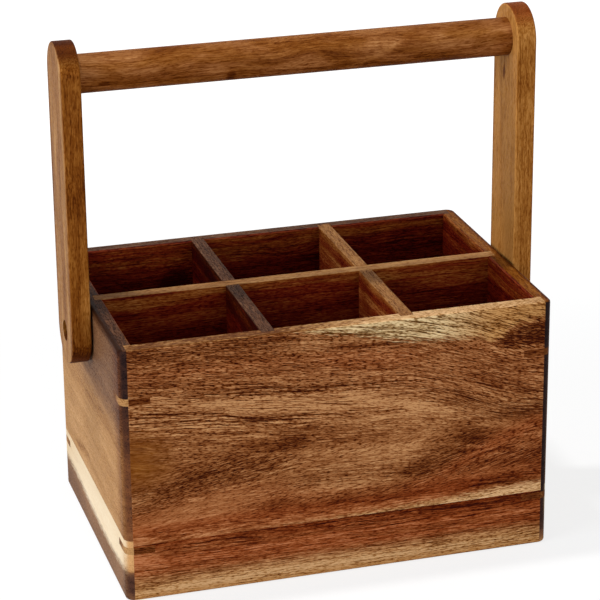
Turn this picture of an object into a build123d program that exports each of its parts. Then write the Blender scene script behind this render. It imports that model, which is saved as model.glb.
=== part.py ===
"""Six-cell wooden caddy with a swinging bail handle.

Front looks along -Y, +Z is up, and the origin is the middle of the box's footprint.
Each wall is two boards glued edge to edge. The side boards are rebated over the ends of the
front and back boards, and two flat keys cross every corner.
"""
from build123d import *
import os

os.makedirs("parts", exist_ok=True)

# Box, in millimetres
box_width = 240.0
box_depth = 162.0
box_height = 144.5
wall = 8.5
lip = wall / 2                  # side board left outside the rebate, and the depth of every groove
front_joint_height = 32.5       # glue line of the front and back walls
side_joint_height = 35.5        # glue line of the side walls
corner_radius = 5.0
edge_ease = 1.5                 # rounding of the outer top and bottom edges
rim_ease = 0.8                  # bevel round the inside of the rim

# Bottom panel, loose in its groove
panel_rise = 6.0
panel_thickness = 6.0
panel_slack = 0.25

# Dividers
divider = 7.5
divider_ease = 0.5
divider_slack = 0.1
slot_clearance = 0.05           # each side of a divider, in a housing or a crossing slot

# Corner keys
key_leg = 16.0
key_thickness = 4.0
key_heights = {"lower": 29.5, "upper": 115.5}

# Bail handle
arm_gap = 1.0                   # between an arm and the side wall
arm_thickness = 11.0
arm_width = 36.5
arm_reach = 143.5               # pivot to dowel
arm_ease = 1.0
pivot_height = 127.5
dowel_radius = 10.5
socket_depth = 6.0
socket_clearance = 0.05
dowel_end_ease = 0.5
dowel_end_slack = 0.1

# Shoulder screws that the arms turn on
shoulder_radius = 3.0
running_clearance = 0.05
head_radius = 5.2
head_thickness = 2.4
head_gap = 0.3                  # under the head, so the arm stays free
counterbore_radius = 5.7
counterbore_depth = 4.5
drive_across_flats = 4.0
drive_depth = 1.4
thread_radius = 2.0
thread_length = 22.0
thread_clearance = 0.02
thread_point = 1.2

# Worked out from the above
half_width = box_width / 2
half_depth = box_depth / 2
inner_half_width = half_width - wall
inner_half_depth = half_depth - wall
groove_half_width = half_width - lip
groove_half_depth = half_depth - lip
panel_top = panel_rise + panel_thickness
cell_width = (2 * inner_half_width - 2 * divider) / 3
cross_divider_x = (cell_width + divider) / 2
housing = divider + 2 * slot_clearance
divider_height = box_height - panel_top
crossing_height = panel_top + divider_height / 2
dowel_height = pivot_height + arm_reach
arm_inner_x = half_width + arm_gap
arm_outer_x = arm_inner_x + arm_thickness
shoulder_length = arm_gap + arm_thickness - counterbore_depth + head_gap


def save(piece, name):
    """Label a finished piece and write it to its own file."""
    piece.part.label = name
    export_step(piece.part, f"parts/{name}.step")


def key_profile(x_side, y_side):
    """Triangle of one corner key, its right angle at the box's outer corner."""
    corner_x = x_side * half_width
    corner_y = y_side * half_depth
    Polygon(
        (corner_x, corner_y),
        (corner_x - x_side * key_leg, corner_y),
        (corner_x, corner_y - y_side * key_leg),
        align=None,
    )


# Shapes that several pieces are cut with

with BuildPart() as outer_form:
    with BuildSketch(Plane.XY):
        RectangleRounded(box_width, box_depth, corner_radius)
    extrude(amount=box_height)
    outer_edges = outer_form.faces().filter_by(Axis.Z).edges()
    fillet(outer_edges, edge_ease)

with BuildPart() as board_recesses:
    # groove for the bottom panel
    with BuildSketch(Plane.XY.offset(panel_rise)):
        Rectangle(2 * groove_half_width, 2 * groove_half_depth)
    extrude(amount=panel_thickness)
    # housings for the ends of the dividers
    with BuildSketch(Plane.XY.offset(panel_top)):
        Rectangle(2 * groove_half_width, housing)
        with Locations((-cross_divider_x, 0), (cross_divider_x, 0)):
            Rectangle(housing, 2 * groove_half_depth)
    extrude(amount=divider_height)
    # bevel round the inside of the rim
    with BuildSketch(Plane.XY.offset(box_height - rim_ease)):
        Rectangle(2 * inner_half_width, 2 * inner_half_depth)
    with BuildSketch(Plane.XY.offset(box_height)):
        Rectangle(2 * (inner_half_width + rim_ease), 2 * (inner_half_depth + rim_ease))
    loft()

with BuildPart() as key_slots:
    for key_height in key_heights.values():
        with BuildSketch(Plane.XY.offset(key_height - key_thickness / 2)):
            for x_side in (-1, 1):
                for y_side in (-1, 1):
                    key_profile(x_side, y_side)
        extrude(amount=key_thickness)

with BuildPart() as screw_pilots:
    with BuildSketch(Plane.YZ.offset(-half_width)):
        with Locations((0, pivot_height)):
            Circle(thread_radius + thread_clearance)
    extrude(amount=thread_length)
    mirror(about=Plane.YZ)


# Front and back walls

for y_side, wall_name in ((-1, "front"), (1, "back")):
    for level, foot, top in (("lower", 0, front_joint_height), ("upper", front_joint_height, box_height)):
        with BuildPart() as end_board:
            with BuildSketch(Plane.XY.offset(foot)):
                with Locations((0, y_side * (half_depth - wall / 2))):
                    Rectangle(2 * groove_half_width, wall)
            extrude(amount=top - foot)
            add(board_recesses.part, mode=Mode.SUBTRACT)
            add(key_slots.part, mode=Mode.SUBTRACT)
            add(outer_form.part, mode=Mode.INTERSECT)
        save(end_board, f"{wall_name}_board_{level}")


# Side walls, rebated at both ends over the front and back boards

for x_side, wall_name in ((-1, "left"), (1, "right")):
    for level, foot, top in (("lower", 0, side_joint_height), ("upper", side_joint_height, box_height)):
        with BuildPart() as side_board:
            with BuildSketch(Plane.XY.offset(foot)):
                with Locations((x_side * (half_width - wall / 2), 0)):
                    Rectangle(wall, 2 * inner_half_depth)
                with Locations((x_side * (half_width - lip / 2), 0)):
                    Rectangle(lip, box_depth)
            extrude(amount=top - foot)
            add(board_recesses.part, mode=Mode.SUBTRACT)
            add(key_slots.part, mode=Mode.SUBTRACT)
            add(screw_pilots.part, mode=Mode.SUBTRACT)
            add(outer_form.part, mode=Mode.INTERSECT)
        save(side_board, f"{wall_name}_board_{level}")


# Corner keys

for level, key_height in key_heights.items():
    for x_side, x_name in ((-1, "left"), (1, "right")):
        for y_side, y_name in ((-1, "front"), (1, "back")):
            with BuildPart() as corner_key:
                with BuildSketch(Plane.XY.offset(key_height - key_thickness / 2)):
                    key_profile(x_side, y_side)
                extrude(amount=key_thickness)
                add(outer_form.part, mode=Mode.INTERSECT)
            save(corner_key, f"corner_key_{y_name}_{x_name}_{level}")


# Bottom panel

with BuildPart() as bottom_panel:
    with BuildSketch(Plane.XY.offset(panel_rise)):
        Rectangle(2 * (groove_half_width - panel_slack), 2 * (groove_half_depth - panel_slack))
    extrude(amount=panel_thickness)
save(bottom_panel, "bottom_panel")


# Dividers, halved over each other where they cross

with BuildPart() as long_divider:
    with BuildSketch(Plane.XY.offset(panel_top)):
        Rectangle(2 * (groove_half_width - divider_slack), divider)
    extrude(amount=divider_height)
    fillet(long_divider.edges().filter_by(Axis.X).group_by(Axis.Z)[-1], divider_ease)
    # slots that open downwards
    with BuildSketch(Plane.XY.offset(panel_top)):
        with Locations((-cross_divider_x, 0), (cross_divider_x, 0)):
            Rectangle(housing, divider)
    extrude(amount=crossing_height - panel_top, mode=Mode.SUBTRACT)
    add(screw_pilots.part, mode=Mode.SUBTRACT)
save(long_divider, "long_divider")

for x_side, side_name in ((-1, "left"), (1, "right")):
    with BuildPart() as cross_divider:
        with BuildSketch(Plane.XY.offset(panel_top)):
            with Locations((x_side * cross_divider_x, 0)):
                Rectangle(divider, 2 * (groove_half_depth - divider_slack))
        extrude(amount=divider_height)
        fillet(cross_divider.edges().filter_by(Axis.Y).group_by(Axis.Z)[-1], divider_ease)
        # slot that opens upwards
        with BuildSketch(Plane.XY.offset(crossing_height)):
            with Locations((x_side * cross_divider_x, 0)):
                Rectangle(divider, housing)
        extrude(amount=box_height - crossing_height, mode=Mode.SUBTRACT)
    save(cross_divider, f"cross_divider_{side_name}")


# Handle: two flat arms with round ends, and a dowel glued into blind sockets

for x_side, side_name in ((-1, "left"), (1, "right")):
    outer_face = Plane(origin=(x_side * arm_outer_x, 0, pivot_height), z_dir=(x_side, 0, 0))
    inner_face = Plane(origin=(x_side * arm_inner_x, 0, dowel_height), z_dir=(-x_side, 0, 0))
    with BuildPart() as handle_arm:
        with BuildSketch(Plane.YZ.offset(x_side * arm_inner_x)):
            with Locations((0, pivot_height + arm_reach / 2)):
                SlotCenterToCenter(arm_reach, arm_width, rotation=90)
        extrude(amount=x_side * arm_thickness)
        fillet(handle_arm.faces().filter_by(Axis.X).edges(), arm_ease)
        with Locations(outer_face):
            CounterBoreHole(shoulder_radius + running_clearance, counterbore_radius, counterbore_depth)
        with Locations(inner_face):
            Hole(dowel_radius + socket_clearance, depth=socket_depth)
    save(handle_arm, f"handle_arm_{side_name}")

with BuildPart() as handle_dowel:
    dowel_end_x = arm_inner_x + socket_depth - dowel_end_slack
    with BuildSketch(Plane.YZ.offset(-dowel_end_x)):
        with Locations((0, dowel_height)):
            Circle(dowel_radius)
    extrude(amount=2 * dowel_end_x)
    chamfer(handle_dowel.faces().filter_by(Axis.X).edges(), dowel_end_ease)
save(handle_dowel, "handle_dowel")


# Pivot screws, their heads sunk in the arms and their shoulders seated on the side walls

for x_side, side_name in ((-1, "left"), (1, "right")):
    wall_face = Plane(origin=(x_side * half_width, 0, pivot_height), z_dir=(x_side, 0, 0))
    with BuildPart() as pivot_screw:
        with BuildSketch(wall_face):
            Circle(thread_radius)
        extrude(amount=-thread_length)
        chamfer(pivot_screw.edges().sort_by(lambda edge: abs(edge.center().X))[0], thread_point)
        with BuildSketch(wall_face):
            Circle(shoulder_radius)
        extrude(amount=shoulder_length)
        with BuildSketch(wall_face.offset(shoulder_length)):
            Circle(head_radius)
        extrude(amount=head_thickness)
        with BuildSketch(wall_face.offset(shoulder_length + head_thickness)):
            RegularPolygon(drive_across_flats / 2, 6, major_radius=False)
        extrude(amount=-drive_depth, mode=Mode.SUBTRACT)
    save(pivot_screw, f"pivot_screw_{side_name}")
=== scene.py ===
"""Looks of the six-cell acacia caddy: a camera and a soft studio, and the oiled wood of every board.

The solids carry the shape. Each board gets its own grain here, worked out in millimetres on the board itself:
x runs left to right, y front to back and z up.
"""
import math
import bpy
from mathutils import Matrix, Vector


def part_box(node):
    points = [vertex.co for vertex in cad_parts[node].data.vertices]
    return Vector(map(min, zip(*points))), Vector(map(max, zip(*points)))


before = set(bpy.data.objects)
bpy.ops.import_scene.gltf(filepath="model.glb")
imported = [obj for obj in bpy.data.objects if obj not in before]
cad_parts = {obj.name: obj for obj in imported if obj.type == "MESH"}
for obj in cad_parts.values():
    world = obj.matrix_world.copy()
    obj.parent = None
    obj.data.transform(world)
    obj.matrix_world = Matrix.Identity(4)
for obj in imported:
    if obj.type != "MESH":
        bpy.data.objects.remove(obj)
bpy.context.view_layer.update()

MM = 0.001                      # metres
BOARD_STEP = 731.0              # millimetres along the grain between one board's pattern and the next
LAYER_STEP = 57.0               # the same into the wood
PORE_EDGES = 0.5, 0.62          # where the pores' noise turns into a dark dash
THREAD_EDGES = 0.52, 0.62       # where the threads' noise turns into a dark line
CROWDING = 0.15                 # how far shadow brings these edges down
OIL_SHEEN = 0.03                # specular level of the oiled wood, which hardly shines

# The caddy's own sizes, in millimetres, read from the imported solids
side_low, side_high = (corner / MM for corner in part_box("left_board_upper"))
side_joint = side_low.z         # glue line of the side walls
rim = side_high.z               # top of the walls
half_width = -side_low.x
half_depth = side_high.y
lip = half_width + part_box("front_board_upper")[0].x / MM     # how far the side boards lap over the front


# ---------------------------------------------------------------- camera and studio

def add_camera():
    """The photograph's view: a long lens a little to the left of the front and above the rim."""
    azimuth = math.radians(16.284)      # towards -X from the front
    elevation = math.radians(21.047)
    roll = math.radians(-0.561)
    distance = 1.42178
    aim = Vector((0, 0, 0.075))
    aim_right, aim_up = 0.001328, 0.050905
    back = Vector((
        -math.sin(azimuth) * math.cos(elevation),
        -math.cos(azimuth) * math.cos(elevation),
        math.sin(elevation),
    ))
    right = (-back).cross(Vector((0, 0, 1))).normalized()
    up = back.cross(right)
    place = aim + back * distance + right * aim_right + up * aim_up
    axes = Matrix((right, up, back)).transposed() @ Matrix.Rotation(roll, 3, "Z")
    data = bpy.data.cameras.new("photo_camera")
    data.sensor_width = 36
    data.lens = 150.75
    data.clip_start = 0.05
    camera = bpy.data.objects.new("photo_camera", data)
    bpy.context.scene.collection.objects.link(camera)
    camera.matrix_world = Matrix.Translation(place) @ axes.to_4x4()
    bpy.context.scene.camera = camera


def softbox(name, place, width, height, watts):
    """A studio light that looks at the middle of the caddy."""
    data = bpy.data.lights.new(name, "AREA")
    data.shape = "RECTANGLE"
    data.size = width
    data.size_y = height
    data.energy = watts
    light = bpy.data.objects.new(name, data)
    bpy.context.scene.collection.objects.link(light)
    light.location = place
    towards = Vector((0, 0, 0.1)) - light.location
    light.rotation_mode = "QUATERNION"
    light.rotation_quaternion = towards.to_track_quat("-Z", "Y")


def seen_directly(tree):
    """1 for the rays that show the background itself: from the camera, a mirror or glass."""
    path = tree.nodes.new("ShaderNodeLightPath")
    camera_or_glossy = tree.nodes.new("ShaderNodeMath")
    camera_or_glossy.operation = "MAXIMUM"
    tree.links.new(path.outputs["Is Camera Ray"], camera_or_glossy.inputs[0])
    tree.links.new(path.outputs["Is Glossy Ray"], camera_or_glossy.inputs[1])
    any_of_three = tree.nodes.new("ShaderNodeMath")
    any_of_three.operation = "MAXIMUM"
    tree.links.new(camera_or_glossy.outputs[0], any_of_three.inputs[0])
    tree.links.new(path.outputs["Is Transmission Ray"], any_of_three.inputs[1])
    return any_of_three.outputs[0]


def add_world(ambient):
    """White to the camera, and a plain soft light from all round for everything else."""
    world = bpy.data.worlds.new("studio")
    world.use_nodes = True
    bpy.context.scene.world = world
    tree = world.node_tree
    tree.nodes.clear()
    white = tree.nodes.new("ShaderNodeBackground")
    white.inputs["Color"].default_value = (1, 1, 1, 1)
    fill = tree.nodes.new("ShaderNodeBackground")
    fill.inputs["Color"].default_value = (0.97, 0.985, 1, 1)
    fill.inputs["Strength"].default_value = ambient
    choose = tree.nodes.new("ShaderNodeMixShader")
    tree.links.new(seen_directly(tree), choose.inputs["Fac"])
    tree.links.new(fill.outputs[0], choose.inputs[1])
    tree.links.new(white.outputs[0], choose.inputs[2])
    out = tree.nodes.new("ShaderNodeOutputWorld")
    tree.links.new(choose.outputs[0], out.inputs["Surface"])


def add_floor(glow, seen_grey, lit_grey):
    """A white floor that fades into the background and keeps the caddy's pale shadow.

    The camera sees a greyer paper that glows, so the shadow stays pale. The caddy gets the light of a white one.
    """
    reach = 6.0
    just_under_the_caddy = -0.0003
    mesh = bpy.data.meshes.new("floor")
    corners = [(-reach, -reach), (reach, -reach), (reach, reach), (-reach, reach)]
    mesh.from_pydata([(x, y, just_under_the_caddy) for x, y in corners], [], [(0, 1, 2, 3)])
    floor = bpy.data.objects.new("floor", mesh)
    bpy.context.scene.collection.objects.link(floor)
    material = bpy.data.materials.new("studio_floor")
    material.use_nodes = True
    tree = material.node_tree
    tree.nodes.clear()
    seen = seen_directly(tree)
    grey = tree.nodes.new("ShaderNodeMapRange")
    grey.inputs["To Min"].default_value = lit_grey
    grey.inputs["To Max"].default_value = seen_grey
    tree.links.new(seen, grey.inputs["Value"])
    paper = tree.nodes.new("ShaderNodeBsdfDiffuse")
    tree.links.new(grey.outputs["Result"], paper.inputs["Color"])
    lift = tree.nodes.new("ShaderNodeEmission")
    lift.inputs["Color"].default_value = (1, 1, 1, 1)
    place = tree.nodes.new("ShaderNodeTexCoord")
    distance = tree.nodes.new("ShaderNodeVectorMath")
    distance.operation = "LENGTH"
    tree.links.new(place.outputs["Object"], distance.inputs[0])
    far = tree.nodes.new("ShaderNodeMapRange")
    far.interpolation_type = "SMOOTHSTEP"
    far.inputs["From Min"].default_value = 0.3
    far.inputs["From Max"].default_value = 0.8
    far.inputs["To Min"].default_value = glow
    far.inputs["To Max"].default_value = 1.0
    tree.links.new(distance.outputs["Value"], far.inputs["Value"])
    strength = tree.nodes.new("ShaderNodeMath")
    strength.operation = "MULTIPLY"
    tree.links.new(far.outputs["Result"], strength.inputs[0])
    tree.links.new(seen, strength.inputs[1])
    tree.links.new(strength.outputs[0], lift.inputs["Strength"])
    both = tree.nodes.new("ShaderNodeAddShader")
    tree.links.new(paper.outputs[0], both.inputs[0])
    tree.links.new(lift.outputs[0], both.inputs[1])
    out = tree.nodes.new("ShaderNodeOutputMaterial")
    tree.links.new(both.outputs[0], out.inputs["Surface"])
    mesh.materials.append(material)


bpy.context.scene.view_settings.view_transform = "Standard"
add_camera()
add_world(ambient=0.3)
add_floor(glow=0.78, seen_grey=0.25, lit_grey=0.8)
softbox("key_from_the_left", place=(-1.75, -0.6, 0.8), width=0.9, height=0.9, watts=16)
softbox("fill_from_the_front", place=(0.45, -1.9, 0.6), width=1.2, height=1.2, watts=13)
softbox("top_light", place=(-0.45, 0.17, 1.8), width=0.12, height=0.2, watts=16)


# ---------------------------------------------------------------- fields: numbers that change over the wood

class Field:
    """A number that changes over the wood: a node's output, which sums and products are written with."""

    def __init__(self, socket):
        self.socket = socket
        self.tree = socket.id_data

    def math(self, operation, *others):
        """The field put through a Math node, with other fields or numbers."""
        node = self.tree.nodes.new("ShaderNodeMath")
        node.operation = operation
        for entry, value in zip(node.inputs, (self, *others)):
            feed(entry, value)
        return Field(node.outputs[0])

    def __add__(self, other):
        return self.math("ADD", other)

    def __sub__(self, other):
        return self.math("SUBTRACT", other)

    def __rsub__(self, number):
        return self * -1 + number

    def __mul__(self, other):
        return self.math("MULTIPLY", other)

    def __truediv__(self, other):
        return self.math("DIVIDE", other)

    def __neg__(self):
        return self * -1

    def __abs__(self):
        return self.math("ABSOLUTE")

    def clamped(self):
        """No lower than 0 and no higher than 1."""
        return self.math("MINIMUM", 1).math("MAXIMUM", 0)

    def rise(self, start, end):
        """0 up to start, 1 from end on, and a smooth slope between."""
        node = self.tree.nodes.new("ShaderNodeMapRange")
        node.interpolation_type = "SMOOTHSTEP"
        feed(node.inputs["Value"], self)
        feed(node.inputs["From Min"], start)
        feed(node.inputs["From Max"], end)
        return Field(node.outputs["Result"])

    def fall(self, start, end):
        """1 up to start, 0 from end on, and a smooth slope between."""
        return 1 - self.rise(start, end)

    def through(self, points):
        """A smooth curve through given (place, value) points, flat beyond its two ends."""
        places = [place for place, _ in points]
        values = [value for _, value in points]
        low, span = min(places), max(places) - min(places)
        base, reach = min(values), max(max(values) - min(values), 1e-6)
        node = self.tree.nodes.new("ShaderNodeFloatCurve")
        node.mapping.extend = "HORIZONTAL"
        line = node.mapping.curves[0]
        while len(line.points) < len(points):
            line.points.new(0.5, 0.5)
        for knot, (place, value) in zip(line.points, points):
            knot.location = ((place - low) / span, (value - base) / reach)
            knot.handle_type = "AUTO_CLAMPED"
        node.mapping.update()
        feed(node.inputs["Value"], (self - low) / span)
        return Field(node.outputs[0]) * reach + base


def feed(entry, value):
    """Connects a field to a node's input, or writes a plain number there."""
    if isinstance(value, Field):
        value.tree.links.new(value.socket, entry)
    else:
        entry.default_value = value


def noise(at, size, detail=2.0, roughness=0.5):
    """Soft noise from 0 to 1, with patches of size (along, across, into the board) in millimetres."""
    tree = at[0].tree
    join = tree.nodes.new("ShaderNodeCombineXYZ")
    for entry, place, patch in zip(join.inputs, at, size):
        feed(entry, place / patch)
    cloud = tree.nodes.new("ShaderNodeTexNoise")
    cloud.inputs["Scale"].default_value = 1.0
    cloud.inputs["Detail"].default_value = detail
    cloud.inputs["Roughness"].default_value = roughness
    tree.links.new(join.outputs[0], cloud.inputs["Vector"])
    return Field(cloud.outputs["Fac"])


def linear(red, green, blue):
    """A colour given as 0 to 255 on the screen, in the linear light that a shader takes."""
    screen = [level / 255 for level in (red, green, blue)]
    light = [s / 12.92 if s <= 0.04045 else ((s + 0.055) / 1.055) ** 2.4 for s in screen]
    return (*light, 1.0)


def shade(tone, colours):
    """The wood's colour for a tone from 0 to 1, along evenly spaced colours from dark to pale."""
    ramp = tone.tree.nodes.new("ShaderNodeValToRGB")
    stops = ramp.color_ramp.elements
    while len(stops) < len(colours):
        stops.new(0.5)
    for number, colour in enumerate(colours):
        stops[number].position = number / (len(colours) - 1)
        stops[number].color = linear(*colour)
    feed(ramp.inputs["Fac"], tone)
    return ramp.outputs["Color"]


def lay_over(under, over, mask):
    """One colour over another where the mask says so."""
    tree = mask.tree
    mix = tree.nodes.new("ShaderNodeMix")
    mix.data_type = "RGBA"
    feed(mix.inputs["Factor"], mask)
    tree.links.new(under, mix.inputs["A"])
    tree.links.new(over, mix.inputs["B"])
    return mix.outputs["Result"]


# ---------------------------------------------------------------- shared effects

def new_group(name, inputs, outputs):
    """An empty shader group with number sockets. Returns the group, its inputs as fields and its exit."""
    group = bpy.data.node_groups.new(name, "ShaderNodeTree")
    for socket in inputs:
        group.interface.new_socket(name=socket, in_out="INPUT", socket_type="NodeSocketFloat")
    for socket in outputs:
        group.interface.new_socket(name=socket, in_out="OUTPUT", socket_type="NodeSocketFloat")
    entry = group.nodes.new("NodeGroupInput")
    leave = group.nodes.new("NodeGroupOutput")
    return group, [Field(entry.outputs[socket]) for socket in inputs], leave


def make_acacia_grain():
    """Acacia as it is sawn along the grain: short pores, long threads, fibres, tone bands, smoky figure."""
    inputs = ["Along", "Across", "Into", "Seed", "Waviness"]
    outputs = ["Pores", "Threads", "Fibres", "Bands", "Smoke", "Ragged"]
    group, (along, across, into, seed, waviness), leave = new_group("acacia_grain", inputs, outputs)
    along = along + seed * BOARD_STEP
    into = into + seed * LAYER_STEP
    long_wave = noise((along, across, into), (60, 18, 24), detail=1) - 0.5
    short_wave = noise((along, across, into), (20, 6, 8), detail=1) - 0.5
    across = across + long_wave * waviness + short_wave * 2
    fields = {
        "Pores": noise((along, across, into), (2.6, 0.5, 0.6), detail=1, roughness=0.5),
        "Threads": noise((along, across, into), (45, 0.7, 1.0), detail=2, roughness=0.6),
        "Fibres": noise((along, across, into), (7, 0.65, 0.8), detail=2, roughness=0.6),
        "Bands": noise((along, across, into), (150, 6.5, 12), detail=3, roughness=0.6),
        "Smoke": noise((along, across, into), (24, 9, 12), detail=2, roughness=0.5),
        "Ragged": noise((along, across, into), (6, 0.9, 2.5), detail=2, roughness=0.6) - 0.5,
    }
    for socket, field in fields.items():
        feed(leave.inputs[socket], field)
    return group


def make_end_grain():
    """The sawn end of a board: the pores are dots, with faint growth rings between them."""
    inputs = ["X", "Y", "Z", "Seed"]
    outputs = ["Dots", "Rings"]
    group, (x, y, z, seed), leave = new_group("acacia_end_grain", inputs, outputs)
    x = x + seed * LAYER_STEP
    dots = noise((x, y, z), (0.7, 0.7, 0.7), detail=2, roughness=0.6).rise(0.5, 0.7)
    rings = noise((x, y, z), (30, 8, 3), detail=2)
    feed(leave.inputs["Dots"], dots)
    feed(leave.inputs["Rings"], rings)
    return group


acacia_grain = make_acacia_grain()
end_grain = make_end_grain()


# Colours from dark to pale
HEARTWOOD = ((50, 12, 0), (86, 36, 4), (124, 70, 32), (160, 105, 62), (194, 142, 94))
REDWOOD = ((46, 4, 0), (86, 26, 0), (124, 55, 18), (156, 84, 42), (188, 118, 76))
AMBER = ((48, 13, 0), (85, 38, 2), (120, 65, 14), (152, 96, 37), (187, 130, 67))
SAPWOOD = ((64, 34, 4), (112, 75, 34), (160, 126, 80), (198, 166, 118), (228, 202, 154))
CREAM = ((158, 112, 72), (216, 180, 138), (238, 213, 176), (249, 229, 196), (255, 242, 216))
GREYWOOD = ((44, 22, 10), (88, 55, 36), (128, 92, 66), (158, 118, 86), (188, 148, 112))
TANWOOD = ((92, 48, 16), (142, 94, 50), (177, 130, 80), (202, 156, 106), (226, 185, 136))
# MAROON, for the cells' faces, is partly the wood's own deep tone and partly painted shade of the cells.
MAROON = ((40, 2, 1), (78, 10, 4), (108, 30, 9), (136, 62, 24), (166, 100, 54))
END_WOOD = ((12, 6, 8), (44, 28, 26), (84, 50, 34), (122, 74, 44), (160, 112, 72))
END_SAPWOOD = ((34, 20, 18), (84, 54, 42), (136, 92, 60), (184, 132, 82), (218, 168, 112))


class Wood:
    """One board's material: where a point lies on it, its grain, and the colours laid over each other."""

    def __init__(self, name, along, across, into, seed, waviness=7.0, bend=None):
        """The axes say which way the grain runs. bend gives millimetres that the grain drops by."""
        self.material = bpy.data.materials.new(name)
        self.material.use_nodes = True
        self.tree = self.material.node_tree
        self.tree.nodes.clear()
        self.seed = seed
        spot = self.tree.nodes.new("ShaderNodeTexCoord")
        split = self.tree.nodes.new("ShaderNodeSeparateXYZ")
        self.tree.links.new(spot.outputs["Object"], split.inputs[0])
        self.x, self.y, self.z = (Field(split.outputs[axis]) / MM for axis in "XYZ")
        facing = self.tree.nodes.new("ShaderNodeSeparateXYZ")
        self.tree.links.new(spot.outputs["Normal"], facing.inputs[0])
        self.facing = {axis: Field(facing.outputs[axis]) for axis in "XYZ"}
        places = {"X": self.x, "Y": self.y, "Z": self.z}
        self.along = places[along]
        self.across = places[across]
        self.into = places[into]
        self.end = along
        self.waviness = waviness
        grain = self.read_grain(self.across if bend is None else self.across + bend(self))
        self.pores, self.threads, self.fibres, self.bands, self.smoke, self.ragged = grain

    def read_grain(self, across):
        """The acacia grain, laid along the board."""
        use = self.tree.nodes.new("ShaderNodeGroup")
        use.node_tree = acacia_grain
        for socket, value in zip(use.inputs, (self.along, across, self.into, self.seed, self.waviness)):
            feed(socket, value)
        return [Field(socket) for socket in use.outputs]

    def lean(self, slope, mask):
        """Where the mask says so, the pores, threads and fibres climb along the board."""
        pores, threads, fibres, *_ = self.read_grain(self.across - self.along * slope)
        self.pores = self.pores + (pores - self.pores) * mask
        self.threads = self.threads + (threads - self.threads) * mask
        self.fibres = self.fibres + (fibres - self.fibres) * mask

    def tone(self, middle, shadow=0.0, bands=0.6, smoke=0.4, fibres=1.6, pores=0.4, threads=0.15):
        """How pale the wood is, from 0 to 1. Where there is shadow, the pores crowd together."""
        dashes = (self.pores + shadow * CROWDING).rise(*PORE_EDGES)
        lines = (self.threads + shadow * CROWDING).rise(*THREAD_EDGES)
        tone = (self.bands - 0.5) * bands + (self.smoke - 0.5) * smoke + (self.fibres - 0.5) * fibres
        tone = tone - dashes * pores - lines * threads - shadow * 0.8
        return tone + threads * 0.3 + pores * 0.4 + middle

    def streak(self, path, soft=2.5, ragged=4.0):
        """Mask of a streak through listed (along, across, half width) points."""
        centre = self.along.through([(place, height) for place, height, _ in path])
        half = self.along.through([(place, width) for place, _, width in path])
        off = abs(self.across + self.ragged * ragged - centre)
        return ((half - off) / soft + 0.5).clamped()

    def line(self, *path):
        """Mask of a fine dark line, about a millimetre wide."""
        return self.streak(path, soft=0.8, ragged=1.4)

    def spot(self, along, across, length, width):
        """Mask of a soft oval."""
        far_along = (self.along + self.ragged * length * 0.6 - along) / length
        far_across = (self.across + self.ragged * width - across) / width
        return (1 - (far_along * far_along + far_across * far_across)).clamped()

    def above(self, path, soft=2.0, ragged=4.0):
        """Mask of what lies above a line through (along, across) points."""
        return ((self.across + self.ragged * ragged - self.along.through(path)) / soft + 0.5).clamped()

    def faces(self, axis, side, start=0.4, end=0.8):
        """Mask of the faces that look along an axis, towards its plus or minus side."""
        return (self.facing[axis] * side).rise(start, end)

    def sawn_end(self, start=0.35, end=0.85):
        """Mask of the faces cut across the grain."""
        return abs(self.facing[self.end]).rise(start, end)

    def end_tone(self, middle, dots=0.35, rings=0.6):
        """How pale the wood is where it is cut across the grain, from 0 to 1."""
        use = self.tree.nodes.new("ShaderNodeGroup")
        use.node_tree = end_grain
        for socket, value in zip(use.inputs, (self.x, self.y, self.z, self.seed)):
            feed(socket, value)
        spots, ring = map(Field, use.outputs)
        return (ring - 0.5) * rings - spots * dots + (middle + 0.3 * dots)

    def maroon(self, middle, painted_rim_shading=0.2):
        """Deep maroon of the cells' faces, partly the wood's own deep tone and partly painted shade of the cells,
        with a few brown bands towards the rim.

        painted_rim_shading is painted light near the rim, where the cells open: how much paler the wood gets there,
        and painted shade where it is negative.
        """
        height = self.z + self.ragged * 20
        tone = self.tone(middle, bands=1.1, smoke=0.4, fibres=1.0, pores=0.25, threads=0.2)
        # Painted light towards the rim, and painted shade where the amount is negative.
        tone = tone + height.rise(rim - 28, rim) * painted_rim_shading
        brown = height.rise(rim - 17, rim - 4) * self.bands.rise(0.4, 0.58)
        return lay_over(shade(tone, MAROON), shade(tone, AMBER), brown * 0.5)

    def maroon_inside(self, wood, axis, side, middle=0.3):
        """The face that looks into the cells, in maroon that is partly painted shade."""
        return lay_over(wood, self.maroon(middle), self.faces(axis, side))

    def sanded_rim(self, wood, colours, middle):
        """The top edge, in colours of its own."""
        tone = self.tone(middle, bands=0.5, smoke=0.3, fibres=0.7, pores=0.18)
        return lay_over(wood, shade(tone, colours), self.faces("Z", 1, 0.2, 0.6))

    def finish(self, colour, roughness=0.5, depth=0.05):
        """Satin oil over the colour, with the pores sunk a little into it."""
        surface = self.tree.nodes.new("ShaderNodeBsdfPrincipled")
        self.tree.links.new(colour, surface.inputs["Base Color"])
        dashes = self.pores.rise(*PORE_EDGES)
        feed(surface.inputs["Roughness"], dashes * 0.15 + (self.fibres - 0.5) * 0.3 + roughness)
        surface.inputs["Specular IOR Level"].default_value = OIL_SHEEN
        bump = self.tree.nodes.new("ShaderNodeBump")
        bump.inputs["Distance"].default_value = MM
        feed(bump.inputs["Height"], dashes * -depth + self.fibres * depth)
        self.tree.links.new(bump.outputs["Normal"], surface.inputs["Normal"])
        out = self.tree.nodes.new("ShaderNodeOutputMaterial")
        self.tree.links.new(surface.outputs[0], out.inputs["Surface"])
        return self.material


# ---------------------------------------------------------------- front wall

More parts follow.
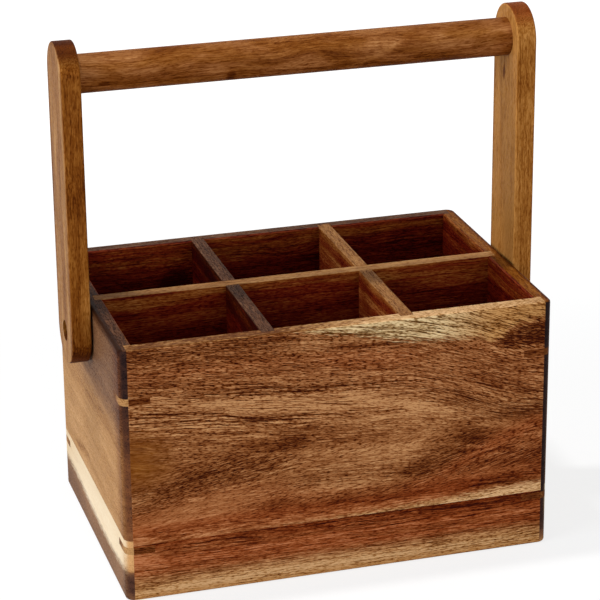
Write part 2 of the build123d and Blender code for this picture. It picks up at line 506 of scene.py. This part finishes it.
def front_upper_acacia():
    """The broad front board, with its pale sapwood at the top right and two smoky diagonals."""
    def falling_grain(board):
        """The grain drops from left to right, most of all under the sapwood."""
        drop = board.along.through([(-120, -13), (0, 0), (35, 4), (60, 10), (103, 25), (120, 29)])
        return drop * board.across.rise(34, 92)

    board = Wood("acacia_front_upper", "X", "Z", "Y", seed=3, bend=falling_grain)
    board.lean(0.14, board.streak([(-118, 56, 12), (-80, 64, 13), (-50, 68, 12), (-10, 72, 3)], soft=12))
    board.lean(0.22, board.streak([(30, 46, 2), (55, 52, 9), (85, 60, 12), (118, 64, 13)], soft=12))
    dark_streaks = [
        (0.05, board.streak([(-118, 121, 2), (-95, 120.5, 3), (-60, 117, 3.5), (-20, 113, 3), (0, 110, 3),
                             (34, 107, 3), (57, 99, 4), (80, 90, 5), (103, 80, 5), (118, 74, 4)])),
        (0.10, board.streak([(-118, 134, 6), (-80, 133, 7), (-50, 132, 5), (-20, 130, 1)], soft=8)),
        (0.23, board.streak([(-118, 50, -2), (-95, 60, 4), (-80, 68, 7), (-60, 73, 8), (-40, 77, 7),
                             (-20, 82, 3), (-8, 85, -2)], soft=12, ragged=6)),
        (0.25, board.streak([(28, 48, 0), (42, 56, 6), (58, 65, 9), (75, 71, 8), (92, 80, 2),
                             (118, 82, 4)], soft=12, ragged=6)),
        (0.48, board.streak([(86, 123, -1), (95, 125, 4), (105, 126, 6), (118, 127, 7)], soft=4, ragged=6)),
        (0.28, board.streak([(-12, 134, 0), (0, 132.5, 0.7), (20, 131.6, 0.8), (42, 131, 0)], 0.8, 0.8)),
        (0.12, board.streak([(-118, 142, 4), (-60, 141, 4), (-20, 141, 1)], soft=5, ragged=6)),
        (0.14, board.streak([(-68, 113, 0), (-45, 112, 3), (-20, 109.5, 3), (0, 107, 0)], soft=4, ragged=6)),
        (0.10, board.streak([(40, 91, 0), (60, 87, 4), (75, 85, 3), (88, 83, 0)], soft=6, ragged=6)),
        (0.07, board.streak([(60, 100, 0), (78, 97, 3), (95, 99, 7), (118, 98, 8)], soft=10, ragged=6)),
        (0.10, board.streak([(-106, 75, 0), (-90, 77, 3), (-74, 79, 0)], soft=7, ragged=6)),
        (0.20, board.streak([(62, 40, 0), (85, 42, 3), (118, 43, 4)], soft=4, ragged=6)),
        (0.10, board.streak([(-70, 141, 2), (-45, 140, 4), (-22, 138, 1)], soft=5, ragged=6)),
        (0.12, board.streak([(84, 53, 0), (98, 54, 4), (118, 55, 5)], soft=6, ragged=6)),
    ]
    pale_streaks = [
        (0.20, board.streak([(-105, 114, 2.5), (-80, 111, 3), (-55, 106, 4), (-20, 102.5, 5), (0, 102, 5.5),
                             (30, 98, 3.5), (50, 91, 4), (65, 86, 1)], soft=5, ragged=6)),
        (0.10, board.streak([(-5, 86, 1), (20, 86, 7), (40, 84, 9), (60, 80, 6), (72, 76, 0)], soft=8)),
        (0.20, board.streak([(-118, 43, 4), (-95, 45, 6), (-75, 48, 7), (-55, 50, 6), (-30, 52, 0)], soft=8)),
        (0.14, board.streak([(-20, 34, 0), (0, 34.5, 2.5), (50, 34.5, 2.5), (70, 34, 0)], soft=2)),
        (0.34, board.streak([(-118, 34, 3), (-108, 34, 2.5), (-100, 34, 0)], soft=2)),
        (0.08, board.streak([(10, 118, 0), (35, 117, 4), (60, 114, 4), (80, 108, 0)], soft=7)),
        (0.12, board.streak([(-96, 97, 0), (-80, 95, 2.5), (-66, 92, 3), (-50, 89, 0)], soft=4)),
        (0.08, board.streak([(-20, 62, 0), (0, 63, 8), (22, 64, 6), (36, 65, 0)], soft=9)),
    ]
    cracks = [
        board.line((-112, 108, 0), (-105, 107.5, 0.5), (-88, 105.5, 0.6), (-75, 104.5, 0.5),
                   (-69, 103.5, 0.7), (-55, 99, 0.5), (-34, 95.5, 0.45), (-16, 94, 0)),
        board.line((-104, 103, 0), (-85, 101.5, 0.3), (-66, 98.5, 0.4), (-48, 95, 0.3), (-30, 92, 0)),
        board.line((-96, 96, 0), (-80, 93.5, 0.45), (-61, 90.5, 0.45), (-45, 89, 0)),
        board.line((-72, 102.5, 0), (-45, 98, 0.6), (-25, 96.2, 0.5), (-10, 95, 0)),
        board.line((-66, 100, 0), (-45, 96, 0.4), (-28, 94.4, 0.4), (-12, 93, 0)),
        board.line((-14, 111.5, 0), (0, 110.5, 0.4), (20, 109, 0.3), (34, 108, 0)),
        board.line((-62, 119, 0), (-50, 118, 0.4), (-38, 116.4, 0)),
        board.line((-48, 115, 0), (-35, 113.8, 0.4), (-22, 112, 0)),
        board.line((-30, 111, 0), (-12, 108.5, 0.3), (6, 107, 0)),
        board.line((60, 101, 0), (74, 96.5, 0.2), (90, 91.5, 0.1), (100, 88.5, 0)),
        board.line((44, 97, 0), (60, 94, 0.1), (78, 88, 0.2), (88, 85, 0)),
    ]
    shadow = board.ragged * 0.2
    for amount, streak in dark_streaks:
        shadow = shadow + streak * amount
    for amount, streak in pale_streaks:
        shadow = shadow - streak * amount
    for crack in cracks:
        shadow = shadow + crack * 0.32

    red_corner = board.streak([(30, 42, 0), (60, 48, 9), (80, 54, 15), (100, 58, 17), (118, 60, 18)],
                              soft=12, ragged=6)
    red_diagonal = board.streak([(50, 48, 0), (70, 57, 3), (90, 66, 4), (112, 76, 4)], soft=6, ragged=6)
    red_foot = board.streak([(-118, 37, 6), (-60, 38, 6), (0, 38, 6), (60, 40, 5), (85, 43, 1)], soft=7)
    red_under_sap = board.streak([(-18, 129, 0), (0, 126, 5), (15, 125, 6), (30, 124, 5), (48, 124, 0)],
                                 soft=7)
    red_shoulder = board.streak([(-118, 130, 5), (-60, 127, 8), (0, 121, 9), (60, 112, 12), (118, 106, 14)],
                                soft=12)
    red_flank = board.streak([(-118, 47, 5), (-60, 53, 8), (-20, 50, 4), (0, 48, 0)], soft=9)
    red = (red_corner * 0.48 + red_diagonal * 0.3 + red_foot * 0.7 + red_under_sap * 0.3
           + red_shoulder * 0.2 + red_flank * 0.35).clamped()
    shadow = shadow + red_corner * 0.14 - red_diagonal * 0.08 - red_foot * 0.04
    long_lines = board.streak([(-118, 106, 8), (-60, 104, 14), (-10, 103, 12), (40, 103, 10), (80, 96, 12),
                               (118, 90, 10)], soft=10)
    pores = board.z.rise(40, 50) * 0.12 + board.z.rise(95, 115) * 0.1 + 0.28
    tone = board.tone(0.49, shadow, pores=pores, threads=long_lines * 0.4 + 0.15)
    wood = lay_over(shade(tone, HEARTWOOD), shade(tone, REDWOOD), red)

    knot = board.spot(-115, 81, 27, 21)
    wood = lay_over(wood, shade((board.smoke - 0.5) * 0.8 + board.fibres * 0.7 + 0.12, AMBER), knot * 0.9)

    sap_line = [(-32, 147), (-20, 144), (0, 140), (15, 137.5), (25, 134.5), (45, 131.5), (65, 130),
                (78, 129), (87, 126), (95, 132), (105, 134.5), (118, 137)]
    sap = board.above(sap_line, soft=3, ragged=12)
    foot_line = [(-60, 32), (-20, 33.2), (20, 34), (45, 35), (70, 36), (90, 37), (105, 37.7), (118, 38.5)]
    foot = 1 - board.above(foot_line, soft=3, ragged=9)
    to_orange = board.x.rise(48, 90)
    hatches = board.streak([(-20, 141, 3), (20, 138, 5), (40, 138.5, 5), (60, 141, 3.5), (80, 134, 3),
                            (95, 133, 3)], soft=5)
    sap_tone = board.tone(0.65, hatches * 0.24 + to_orange * 0.08, bands=1.0, fibres=2.5, pores=0.5, threads=0.6)
    sap_colour = lay_over(shade(sap_tone, SAPWOOD), shade(sap_tone + 0.06, AMBER), to_orange * 0.85)
    wood = lay_over(wood, sap_colour, sap * 0.95)
    foot_tone = (board.tone(0.2, bands=0.8, fibres=2.2, pores=0.6) + board.x.rise(30, 118) * 0.33
                 + board.z.fall(33, 36) * 0.14)
    wood = lay_over(wood, shade(foot_tone, TANWOOD), foot * (board.x.rise(-60, 30) * 0.86 + 0.06))
    rim_tone = board.tone(0, bands=0.6, fibres=1.6, pores=0.4) + board.x.through(
        [(-118, 0), (-65, 0), (-40, -0.05), (-15, 0.2), (0, 0.35), (20, 0.52), (40, 0.66), (118, 0.58)])
    wood = lay_over(wood, shade(rim_tone, TANWOOD), board.faces("Z", 1, 0.5, 0.8))
    wood = board.maroon_inside(wood, "Y", 1)
    return board.finish(wood)


def front_lower_acacia():
    """The narrow front board: dark red under the glue line, paler towards the foot."""
    board = Wood("acacia_front_lower", "X", "Z", "Y", seed=8, waviness=3)
    level = board.z + board.ragged * 5
    layers = level.through([(0, 0.7), (9, 0.7), (12, 0.5), (15, 0.44), (18, 0.46), (22, 0.52), (26, 0.4),
                            (29, 0.22), (32.5, 0.08)])
    dark_right = board.x.through([(44, 0), (60, 0.12), (72, 0.1), (90, 0.06), (118, 0.12)])
    pale_top_left = level.rise(23, 28) * board.x.through(
        [(-118, 0.26), (-95, 0.2), (-76, 0.28), (-57, 0.25), (-38, 0.12), (0, 0.1), (19, 0.17), (57, 0.03)])
    pale_left_end = board.x.fall(-108, -88) * (level.rise(10, 13) * 0.26 - 0.12)
    tone = board.tone(0, bands=0.9, smoke=0.4, fibres=1.4, pores=0.26, threads=0.4) + layers
    tone = tone - dark_right - level.rise(21, 23) * 0.06 + pale_top_left + pale_left_end
    bright_lines = (board.line((-119, 19.5, 1.2), (-80, 20.5, 0.9), (-40, 22, 0.6), (0, 22.5, 0.5),
                               (119, 21, 0.6))
                    + board.line((-30, 17.5, 0), (10, 18.5, 0.6), (60, 18, 0.8), (119, 17.5, 1)))
    red = level.rise(11, 17) * (board.bands.rise(0.35, 0.6) * 0.35 + 0.65)
    wood = lay_over(shade(tone, HEARTWOOD), shade(tone + bright_lines * 0.12, REDWOOD), red)

    pale_foot = board.streak([(-90, 5, 0), (-60, 6.5, 1), (-20, 7, 1.6), (30, 6, 1.6), (60, 6.5, 0.6),
                              (100, 7, 0)], soft=2)
    dark_foot = board.streak([(-118, 7, 1), (-70, 9, 0.5), (-30, 3.5, 0.5), (20, 9.5, 0.6), (60, 4, 0.8),
                              (118, 6, 1.2)], soft=1.5)
    foot_tone = board.tone(0.41, bands=1.0, smoke=0.5, fibres=2.0, pores=0.5, threads=0.5)
    browner_above = board.z.rise(5, 9) * (board.x.fall(-95, -72) * 0.32 + board.x.rise(40, 62) * 0.3 + 0.2)
    foot_tone = foot_tone + pale_foot * 0.2 - dark_foot * 0.2 - browner_above + board.x.through(
        [(-118, 0.1), (-95, 0.14), (-76, 0.3), (-50, 0.2), (0, 0.3), (50, 0.22), (80, 0.24), (118, 0.06)])
    golden = 0.7 - board.z.rise(1, 5) * 0.5
    foot_colour = lay_over(shade(foot_tone, TANWOOD), shade(foot_tone + 0.5, AMBER), golden)
    wood = lay_over(wood, foot_colour, level.fall(6, 13) * 0.85)
    wood = board.maroon_inside(wood, "Y", 1)
    return board.finish(wood)


# ---------------------------------------------------------------- side walls

def side_upper_acacia(name, seed, inward, end_levels, rim_colours, rim_middle):
    """A side wall's tall board: tan, greyer towards the rim, and dark where its ends show."""
    board = Wood(name, "Y", "Z", "X", seed=seed, waviness=8)
    height = board.z + board.ragged * 10 + (board.smoke - 0.5) * 14 + (board.threads - 0.5) * 16
    near_front = (board.ragged * 5 - board.y).rise(60, 80)
    slant = board.streak([(5, 44, 0), (15, 46, 2), (35, 42, 2), (50, 40, 0)], soft=3)
    tone = board.tone(0.52, near_front * 0.12 + slant * 0.2, bands=0.45, smoke=0.25, fibres=0.5, pores=0.14,
                      threads=0.1)
    # The last term is painted shade on the rounded top edge, from 139 mm up.
    tone = tone - height.rise(76, 90) * 0.12 - board.z.rise(139, 143) * 0.3
    grey = height.rise(84, 108)
    wood = lay_over(shade(tone, TANWOOD), shade(tone + 0.02 - height.rise(98, 126) * 0.1, GREYWOOD), grey * 0.9)
    wood = lay_over(wood, shade(tone - near_front * 0.2, REDWOOD), near_front * 0.5)
    # Painted shade along the rim's rounded outer edge, which is darker there.
    painted_edge_shade = abs(board.x).rise(half_width - 3.5, half_width - 1) * 0.4
    wood = board.sanded_rim(wood, rim_colours, rim_middle - painted_edge_shade - board.y.rise(-20, 60) * 0.1)
    wood = board.maroon_inside(wood, "X", inward, middle=0.24)
    ends = board.end_tone(middle=0, dots=0.25, rings=0.4) + board.z.through(end_levels)
    wood = lay_over(wood, shade(ends, END_WOOD), board.sawn_end())
    return board.finish(wood)


def side_lower_acacia(name, seed, inward, end_levels):
    """A side wall's low board: cream sapwood over a grey-brown foot."""
    board = Wood(name, "Y", "Z", "X", seed=seed, waviness=3)
    tone = board.tone(0.6, bands=0.35, smoke=0.2, fibres=0.3, pores=0.1, threads=0.05)
    foot_line = [(-81, 18), (-60, 16.5), (-30, 15.2), (0, 16), (30, 17.8), (60, 19), (81, 19.5)]
    sap = board.above(foot_line, soft=5, ragged=8)
    towards_back = board.y.rise(10, 80)
    near_front = (board.ragged * 8 - board.y).rise(68, 79)
    foot = shade(tone - towards_back * 0.12 - near_front * 0.25 - 0.05, GREYWOOD)
    cream = shade(tone + 0.06 - towards_back * 0.25 - near_front * (0.45 - board.z.rise(20, 32) * 0.3), CREAM)
    wood = lay_over(foot, cream, sap)
    wood = board.maroon_inside(wood, "X", inward, middle=0.4)
    ends = board.end_tone(middle=0, dots=0.15, rings=0.3) + board.z.through(end_levels)
    wood = lay_over(wood, shade(ends, END_SAPWOOD), board.sawn_end())
    return board.finish(wood)


# ---------------------------------------------------------------- back wall (its outer face isn't in the photograph)

def back_upper_acacia():
    """The broad back board: a flat-sawn arch of figure between darker sides."""
    def dipping_grain(board):
        """The outer face's fine grain dips in the middle. The inner face's is level."""
        dip = board.along.through([(-120, -34), (-60, -12), (0, 0), (60, -10), (120, -30)])
        return dip * board.faces("Y", 1)

    board = Wood("acacia_back_upper", "X", "Z", "Y", seed=51, bend=dipping_grain)
    shadow = (board.streak([(-118, 58, 6), (-60, 84, 7), (0, 96, 6), (60, 86, 8), (118, 64, 7)], soft=6, ragged=9)
              * 0.3 + board.streak([(-118, 120, 6), (0, 132, 4), (118, 124, 7)], soft=6, ragged=9) * 0.2)
    shadow = shadow - board.streak([(-90, 50, 0), (-30, 66, 9), (30, 68, 9), (90, 54, 0)], soft=7, ragged=8) * 0.2
    tone = board.tone(0.46, shadow)
    red = board.streak([(-118, 44, 6), (0, 42, 8), (118, 44, 7)], soft=8, ragged=9) * 0.7
    wood = lay_over(shade(tone, HEARTWOOD), shade(tone, REDWOOD), red)
    wood = board.sanded_rim(wood, GREYWOOD, 0.2)
    # Painted shadow: a near-black patch on the inner face in the back left cell.
    painted_shadow_patch = board.spot(-52, 120, 11, 13)
    wood = board.maroon_inside(wood, "Y", -1, middle=0.16 - painted_shadow_patch * 0.35)
    return board.finish(wood)


def back_lower_acacia():
    """The narrow back board: plain red-brown heartwood."""
    board = Wood("acacia_back_lower", "X", "Z", "Y", seed=52, waviness=4)
    tone = board.tone(0.46, board.z.rise(26, 32) * 0.15)
    wood = lay_over(shade(tone, HEARTWOOD), shade(tone, REDWOOD), board.z.rise(8, 24) * 0.7)
    wood = board.maroon_inside(wood, "Y", -1, middle=0.14)
    return board.finish(wood)


# ---------------------------------------------------------------- cells

def divider_acacia(name, along, into, seed, face_middle, painted_rim_shading, edge_colours, edge_middle):
    """A divider: deep maroon faces, partly painted shade, with painted shading near the rim, and a sanded top edge.
    """
    board = Wood(name, along, "Z", into, seed=seed, waviness=3)
    return board.finish(board.sanded_rim(board.maroon(face_middle, painted_rim_shading), edge_colours, edge_middle))


def panel_acacia():
    """The bottom panel: the cells' maroon, partly painted shade."""
    board = Wood("acacia_base", "X", "Y", "Z", seed=30)
    return board.finish(shade(board.tone(0.4), MAROON))


# ---------------------------------------------------------------- handle

def left_arm_acacia():
    """Orange-brown edges, a tan outer face and a dark red top end."""
    board = Wood("acacia_arm_left", "Z", "Y", "X", seed=23, waviness=5)
    dark = board.z.through([(109, 0.3), (119, 0.25), (127, 0.0), (160, -0.03), (195, 0.05), (215, 0.12),
                            (232, 0.04), (262, 0.0), (289, 0.1)])
    edge_tone = board.tone(0.53, dark, bands=0.5, smoke=0.5, fibres=0.75, pores=0.14)
    glow = board.z.rise(121, 130) * board.z.fall(150, 172) * board.x.rise(-128, -124)
    wood = shade(edge_tone + glow * 0.16, AMBER)
    outer_tone = board.tone(0.28, board.y.rise(6, 18) * 0.12, bands=0.7, smoke=0.5, fibres=0.35, pores=0.12)
    wood = lay_over(wood, shade(outer_tone, TANWOOD), board.faces("X", -1))
    end_tone = board.end_tone(middle=0.08)
    return board.finish(lay_over(wood, shade(end_tone, HEARTWOOD), board.sawn_end(0.3, 0.8) * 0.85))


def right_arm_acacia():
    """A paler arm with a small knot high on its inner face."""
    board = Wood("acacia_arm_right", "Z", "Y", "X", seed=24, waviness=5)
    knot = board.spot(250, 2, 5, 2.4)
    tail = board.spot(257, 1.5, 9, 1.5)
    pale_tail = board.spot(236, 2.5, 10, 1.6)
    dashed = board.z.rise(236, 246) * board.z.fall(264, 276)
    shadow = knot * 0.6 + tail * 0.25 - pale_tail * 0.15
    tone = board.tone(0.7, shadow + board.faces("Y", -1) * (dashed * 0.12) - board.faces("X", -1) * 0.2,
                      bands=0.5, smoke=0.35, fibres=0.6, pores=0.15)
    wood = shade(tone, AMBER)
    end_tone = board.end_tone(middle=0.42)
    return board.finish(lay_over(wood, shade(end_tone, REDWOOD), board.sawn_end(0.35, 0.9) * 0.85))


def dowel_acacia():
    """The grip, with a small knot at its left, a pale slant right of the middle and painted light along its top."""
    board = Wood("acacia_dowel", "X", "Z", "Y", seed=21, waviness=9)
    knots = board.spot(-107, 267, 4, 1.5) + board.spot(-38, 265, 3, 3.5)
    slant = board.streak([(18, 260, 0), (25, 262, 1.5), (55, 275, 1.5), (62, 277, 0)], soft=3)
    triangle = board.streak([(50, 270, 0), (60, 274, 3), (75, 276, 0)], soft=2)
    # Painted light: the grip is paler along its top, where the light falls from above.
    painted_top_light = board.z.rise(263, 280) * 0.19
    tone = board.tone(0.39, knots * 0.35 - slant * 0.15 + triangle * 0.15 - painted_top_light,
                      bands=0.6, smoke=0.6, fibres=0.65, pores=0.15)
    rosy = board.smoke.rise(0.35, 0.65) * 0.5 + 0.25
    return board.finish(lay_over(shade(tone, AMBER), shade(tone, HEARTWOOD), rosy))


# ---------------------------------------------------------------- keys and screws

def key_wood(name, seed, end_middle):
    """A corner key: dark where it crosses the front or back board, and paler round the corner."""
    board = Wood(name, "X", "Z", "Y", seed=seed, waviness=1)
    leg_tone = board.tone(0.2, bands=0.2, smoke=0.2, fibres=0.8, pores=0.3)
    down_the_leg = abs(board.y).fall(half_depth - 14, half_depth - 3)
    on_right = board.x.rise(0, 1)
    end_tone = board.tone(end_middle, down_the_leg * 0.4 + on_right * 0.6, bands=0.2, smoke=0.3, fibres=0.5,
                          pores=0.2)
    before_the_lip = abs(board.x).fall(half_width - lip - 0.3, half_width - lip)
    on_front = abs(board.facing["Y"]).rise(0.6, 0.9) * before_the_lip
    return board.finish(lay_over(shade(end_tone, TANWOOD), shade(leg_tone, HEARTWOOD), on_front))


def screw_steel():
    """Dark steel, brushed a little unevenly."""
    material = bpy.data.materials.new("screw_steel")
    material.use_nodes = True
    tree = material.node_tree
    surface = tree.nodes["Principled BSDF"]
    spot = tree.nodes.new("ShaderNodeTexCoord")
    split = tree.nodes.new("ShaderNodeSeparateXYZ")
    tree.links.new(spot.outputs["Object"], split.inputs[0])
    places = [Field(split.outputs[axis]) / MM for axis in "XYZ"]
    brushed = noise(places, (3.0, 0.4, 3.0), detail=3)
    tree.links.new(shade(brushed, ((46, 40, 36), (92, 82, 74))), surface.inputs["Base Color"])
    surface.inputs["Metallic"].default_value = 1.0
    feed(surface.inputs["Roughness"], brushed * 0.3 + 0.3)
    return material


# ---------------------------------------------------------------- what each node is made of

def paint(node, material):
    """Gives a node's whole surface one material."""
    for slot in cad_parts[node].material_slots:
        slot.material = material


# How pale the side boards' sawn ends are: (height, tone), from the foot up
LEFT_END = [(side_joint, 0.74), (55, 0.58), (75, 0.6), (90, 0.44), (100, 0.4), (112, 0.3), (120, 0.22), (rim, 0.2)]
RIGHT_END = [(side_joint, 0.1), (90, 0.12), (rim, 0.06)]
LEFT_FOOT = [(0, 0.4), (8, 0.16), (13, 0.18), (16.5, 0.36), (19.5, 0.9), (25, 0.88), (side_joint, 0.92)]
RIGHT_FOOT = [(0, 0.8), (7, 0.3), (12, 0.1), (side_joint, 0.0)]

paint("front_board_upper", front_upper_acacia())
paint("front_board_lower", front_lower_acacia())
paint("left_board_upper", side_upper_acacia("acacia_left_upper", seed=5, inward=1, end_levels=LEFT_END,
                                            rim_colours=GREYWOOD, rim_middle=0.12))
paint("left_board_lower", side_lower_acacia("acacia_left_lower", seed=6, inward=1, end_levels=LEFT_FOOT))
paint("right_board_upper", side_upper_acacia("acacia_right_upper", seed=15, inward=-1, end_levels=RIGHT_END,
                                             rim_colours=AMBER, rim_middle=0.52))
paint("right_board_lower", side_lower_acacia("acacia_right_lower", seed=16, inward=-1, end_levels=RIGHT_FOOT))
paint("back_board_upper", back_upper_acacia())
paint("back_board_lower", back_lower_acacia())
paint("long_divider", divider_acacia("acacia_long_divider", along="X", into="Y", seed=11, face_middle=0.33,
                                     painted_rim_shading=0.14, edge_colours=TANWOOD, edge_middle=0.33))
paint("cross_divider_left", divider_acacia("acacia_cross_left", along="Y", into="X", seed=12, face_middle=0.2,
                                           painted_rim_shading=-0.3, edge_colours=GREYWOOD, edge_middle=0.15))
paint("cross_divider_right", divider_acacia("acacia_cross_right", along="Y", into="X", seed=13, face_middle=0.48,
                                            painted_rim_shading=0.1, edge_colours=TANWOOD, edge_middle=0.14))
paint("handle_arm_left", left_arm_acacia())
paint("handle_arm_right", right_arm_acacia())
paint("handle_dowel", dowel_acacia())
paint("bottom_panel", panel_acacia())
upper_key = key_wood("key_upper", seed=40, end_middle=0.4)
lower_key = key_wood("key_lower", seed=41, end_middle=0.5)
for corner in ("front_left", "front_right", "back_left", "back_right"):
    paint(f"corner_key_{corner}_upper", upper_key)
    paint(f"corner_key_{corner}_lower", lower_key)
steel = screw_steel()
for side in ("left", "right"):
    paint(f"pivot_screw_{side}", steel)
